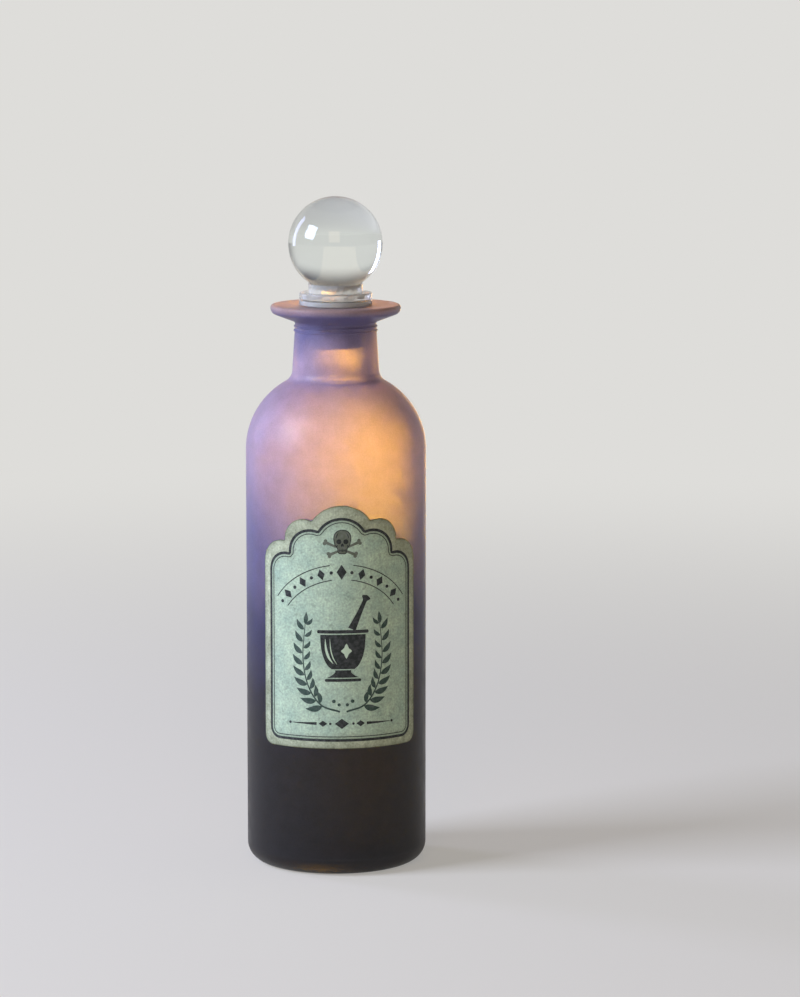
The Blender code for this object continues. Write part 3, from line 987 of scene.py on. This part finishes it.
class MakeBottle(bpy.types.Operator):
    """Add the frosted bottle in place of its plain node"""

    bl_idname = "potion.bottle"
    bl_label = "Frosted bottle"

    def execute(self, context):
        sizes, colours = context.scene.potion_bottle, context.scene.potion_finishes
        outside = np.vstack(list(bottle_outside(sizes)))
        inside = np.vstack(list(bottle_inside(sizes)))
        numbers = np.repeat((0, 1), (len(outside), len(inside) - 1))
        add_piece(
            "bottle_shell", "bottle", "bottle_glass",
            [(turned([outside, inside], sizes.segments), False, numbers)],
            [frosted_glass(colours, sizes), bare_glass("bare_soda_lime_glass", colours.clear, 0.1)],
        )
        return {"FINISHED"}


class MakeLabel(bpy.types.Operator):
    """Add the scalloped paper label and its printed ground"""

    bl_idname = "potion.label"
    bl_label = "Paper label"

    def execute(self, context):
        sizes, colours = context.scene.potion_label, context.scene.potion_finishes
        back, face = paper_radii(context.scene)
        paper = paper_stock(
            "aged_label_stock", colours.parchment, colours.stain, colours.soil_and_edge_shade, 9, 0.0018, 0.34
        )
        # The same stock under a flat tint of pale green ink
        tinted = paper_stock(
            "tinted_label_ground", colours.panel, colours.panel_shade, colours.stain, 7, 0.0034,
            0.45,
        )
        for name, node, outline, low, high, edge, material in (
            ("label_paper", "front_label", label_outline(sizes), back, face, sizes.edge, paper),
            (
                "label_ground", None, border_outline(sizes), face - sizes.ink / 2,
                face + sizes.ink / 4, sizes.ink / 8, tinted,
            ),
        ):
            skin = sheet_skin(outline, back, low, high, edge)
            piece = add_piece(name, "bottle", node, [(skin, False, 0)], [material])
            mark_edge(piece, outline, back)
        return {"FINISHED"}


class MakePrint(bpy.types.Operator):
    """Add the label's printed border, skull, garland, rule, mortar and sprigs"""

    bl_idname = "potion.print"
    bl_label = "Label print"

    def execute(self, context):
        scene = context.scene
        colours = scene.potion_finishes
        black = printing_ink("black_offset_ink", colours.line_ink, 0.2)
        faded = printing_ink("faded_grey_ink", colours.bone_ink, 0.25)
        green = printing_ink("green_offset_ink", colours.leaf_ink, 0.22)
        # The bare tint that shows where a dark print is cut out
        bare = printing_ink("pale_offset_ink", colours.panel, 0.1)
        lines = border_lines(scene.potion_label)
        add_print(scene, "label_border", (0, 0), (lines, 1, black), closed=True)
        grey, dark = skull_motif()
        add_print(scene, "label_skull", SKULL_CENTRE, (grey, 0.7, faded), (dark, 1, black))
        add_print(scene, "label_garland", GARLAND_CENTRE, (garland_motif(), 1, black))
        add_print(scene, "label_rule", RULE_CENTRE, (rule_motif(), 1, black))
        dark, pale = mortar_motif()
        add_print(scene, "label_mortar", MORTAR_CENTRE, (dark, 0.8, black), (pale, 1, bare))
        add_print(scene, "label_sprigs", MORTAR_CENTRE, (sprig_motif(), 1, green))
        return {"FINISHED"}


class MakeBung(bpy.types.Operator):
    """Add the clear bung in place of its plain node"""

    bl_idname = "potion.bung"
    bl_label = "Bung"

    def execute(self, context):
        scene = context.scene
        add_turned(
            scene, "bung_sleeve", "bung", "stopper_bung",
            bung_profile(scene.potion_stopper, scene.potion_bottle.height),
            soft_plastic(scene.potion_finishes.bung),
        )
        return {"FINISHED"}


class MakeCollar(bpy.types.Operator):
    """Add the clear collar in place of its plain node"""

    bl_idname = "potion.collar"
    bl_label = "Collar"

    def execute(self, context):
        scene = context.scene
        pressed = scene.potion_finishes.pressed
        add_turned(
            scene, "collar_ring", "stopper", "stopper_collar",
            collar_profile(scene.potion_stopper, scene.potion_bottle.height),
            bare_glass("pressed_clear_glass", pressed, 0.12, clarity=0.7, wave=1.6, depth=0.003),
        )
        return {"FINISHED"}


class MakeBall(bpy.types.Operator):
    """Add the glass ball in place of its plain node"""

    bl_idname = "potion.ball"
    bl_label = "Glass ball"

    def execute(self, context):
        scene = context.scene
        add_turned(
            scene, "ball_clear", "stopper", "glass_ball",
            ball_profile(scene.potion_stopper),
            bare_glass("polished_clear_glass", scene.potion_finishes.clear, 0.01),
        )
        return {"FINISHED"}


class MakeStudio(bpy.types.Operator):
    """Add the floor, the pale surroundings, the lamps and the camera"""

    bl_idname = "potion.studio"
    bl_label = "Studio"

    def execute(self, context):
        studio = context.scene.potion_studio
        add_floor(studio)
        add_surroundings(context.scene, studio)
        add_lamps()
        add_camera(context.scene, studio)
        return {"FINISHED"}


# The studio


def seen_rays(tree):
    """1 for rays from the camera, a mirror or clear glass, which see the plain backdrop."""
    rays = add(tree, "LightPath").node.outputs
    seen = rays["Is Camera Ray"]
    for name in ("Is Glossy Ray", "Is Transmission Ray"):
        seen = add(tree, "Math", {0: seen, 1: rays[name]}, operation="MAXIMUM")
    return seen


def add_floor(studio):
    """A round floor: a matt surface that takes the shadow, blended with the backdrop's own colour,
    which alone is left from 1.1 m away from the bottle."""
    material, tree, place = new_material("pale_studio_floor")
    distance = add(tree, "VectorMath", {0: place}, "Value", operation="LENGTH")
    far = add(
        tree, "MapRange", {0: distance, 1: 0.2, 2: 1.1, 3: 0.42, 4: 1},
        interpolation_type="SMOOTHSTEP",
    )
    shown = add(tree, "Math", {0: far, 1: seen_rays(tree)}, operation="MULTIPLY")
    matt = add(tree, "BsdfDiffuse", {"Color": studio.floor})
    glow = add(tree, "Emission", {"Color": studio.ground, "Strength": 1.0})
    add(tree, "OutputMaterial", {0: add(tree, "MixShader", {0: shown, 1: matt, 2: glow})})
    shape = bmesh.new()
    bmesh.ops.create_circle(shape, cap_ends=True, segments=96, radius=studio.floor_radius)
    mesh = bpy.data.meshes.new("studio_floor")
    shape.to_mesh(mesh)
    shape.free()
    mesh.materials.append(material)
    floor = bpy.data.objects.new("studio_floor", mesh)
    bpy.context.scene.collection.objects.link(floor)


def add_surroundings(scene, studio):
    """The backdrop's plain colour for the camera. Gloss and clear glass see it only behind the
    bottle, with darker surroundings at the sides, overhead and behind the camera. Every other ray
    meets a soft even light."""
    world = bpy.data.worlds.new("plain_studio")
    world.use_nodes = True
    tree = world.node_tree
    tree.nodes.clear()
    # The ray's way has length 1: it turns dark as it rises, and as it leaves the way to behind.
    way = add(tree, "TexCoord", out="Generated")
    parts = add(tree, "SeparateXYZ", {0: way}).node.outputs
    raised, aside = (
        add(tree, "MapRange", {0: parts[axis], 1: low, 2: high}, interpolation_type="SMOOTHSTEP")
        for axis, low, high in (("Z", 0.25, 0.7), ("Y", 0.7, 0.1))
    )
    dim = add(tree, "Math", {0: raised, 1: aside}, operation="MAXIMUM")
    camera = add(tree, "LightPath", out="Is Camera Ray")
    shade = add(tree, "Math", {0: dim, 1: camera}, operation="SUBTRACT", use_clamp=True)
    seen = add(tree, "Mix", {0: shade, 6: studio.ground, 7: studio.ceiling}, 2, data_type="RGBA")
    mixed = add(tree, "Mix", {0: seen_rays(tree), 6: studio.ambient, 7: seen}, 2, data_type="RGBA")
    add(tree, "OutputWorld", {0: add(tree, "Background", {"Color": mixed, "Strength": 1.0})})
    scene.world = world


def light_only(panel, left_out):
    """Keeps a lamp's light off the pieces named, so that it leaves the floor plain."""
    lit = bpy.data.collections.new(panel.name + "_lights")
    for piece in bpy.context.scene.objects:
        if piece.type == "MESH" and piece.name not in left_out:
            lit.objects.link(piece)
    panel.light_linking.receiver_collection = lit


def add_lamps():
    """Soft panels: a cool key at the left, a weak fill in front, and four behind, of which three
    are warm and light the bottle alone: its glow from inside, and its right edge."""
    for name, place, aim, size, watts, spread, colour in LAMPS:
        lamp = bpy.data.lights.new(name, "AREA")
        lamp.shape = "RECTANGLE"
        lamp.size, lamp.size_y = size
        lamp.energy = watts
        lamp.spread = math.radians(spread)
        lamp.color = linear(colour)[:3]
        panel = bpy.data.objects.new(name, lamp)
        panel.location = place
        way = Vector((0, 0, aim)) - panel.location
        panel.rotation_euler = way.to_track_quat("-Z", "Y").to_euler()
        bpy.context.scene.collection.objects.link(panel)
        if name.startswith("warm"):
            light_only(panel, ("studio_floor", "ball_clear"))
            # The glow comes from inside the glass, so only the rim lamp is mirrored on its skin.
            panel.visible_glossy = name == "warm_rim"
            panel.visible_transmission = name != "warm_rim"


def add_camera(scene, studio):
    """The camera at the photographed angle."""
    camera = bpy.data.cameras.new("camera")
    camera.sensor_fit = "VERTICAL"
    camera.sensor_height = SENSOR_HEIGHT
    camera.lens = studio.lens
    holder = bpy.data.objects.new("camera", camera)
    holder.location = (
        -math.sin(studio.camera_angle) * studio.distance,
        -math.cos(studio.camera_angle) * studio.distance,
        studio.camera_height,
    )
    holder.rotation_euler = Euler((math.pi / 2 + studio.pitch, 0, studio.yaw))
    scene.collection.objects.link(holder)
    scene.camera = holder
    scene.view_settings.view_transform = "Standard"


OPERATORS = MakeBottle, MakeLabel, MakePrint, MakeBung, MakeCollar, MakeBall, MakeStudio


class PotionBottlePanel(bpy.types.Panel):
    """Lists the bottle's pieces in the sidebar"""

    bl_idname = "VIEW3D_PT_potion_bottle"
    bl_label = "Potion bottle"
    bl_space_type = "VIEW_3D"
    bl_region_type = "UI"
    bl_category = "Potion bottle"

    def draw(self, context):
        for kind in OPERATORS:
            self.layout.operator(kind.bl_idname)
        for group in GROUPS:
            box = self.layout.box()
            settings = getattr(context.scene, group)
            for name in GROUPS[group].__annotations__:
                box.prop(settings, name)


GROUPS = {
    "potion_bottle": BottleSizes,
    "potion_label": LabelSizes,
    "potion_stopper": StopperSizes,
    "potion_finishes": BottleFinishes,
    "potion_studio": StudioSettings,
}


def register():
    """Register the settings, the operators and the panel."""
    for name, group in GROUPS.items():
        bpy.utils.register_class(group)
        setattr(bpy.types.Scene, name, PointerProperty(type=group))
    for kind in (*OPERATORS, PotionBottlePanel):
        bpy.utils.register_class(kind)


def unregister():
    """Remove what register added."""
    for kind in reversed((*OPERATORS, PotionBottlePanel)):
        bpy.utils.unregister_class(kind)
    for name, group in reversed(GROUPS.items()):
        delattr(bpy.types.Scene, name)
        bpy.utils.unregister_class(group)


def main():
    """Make every piece in order."""
    register()
    for kind in OPERATORS:
        family, name = kind.bl_idname.split(".")
        getattr(getattr(bpy.ops, family), name)()


if __name__ == "__main__":
    main()
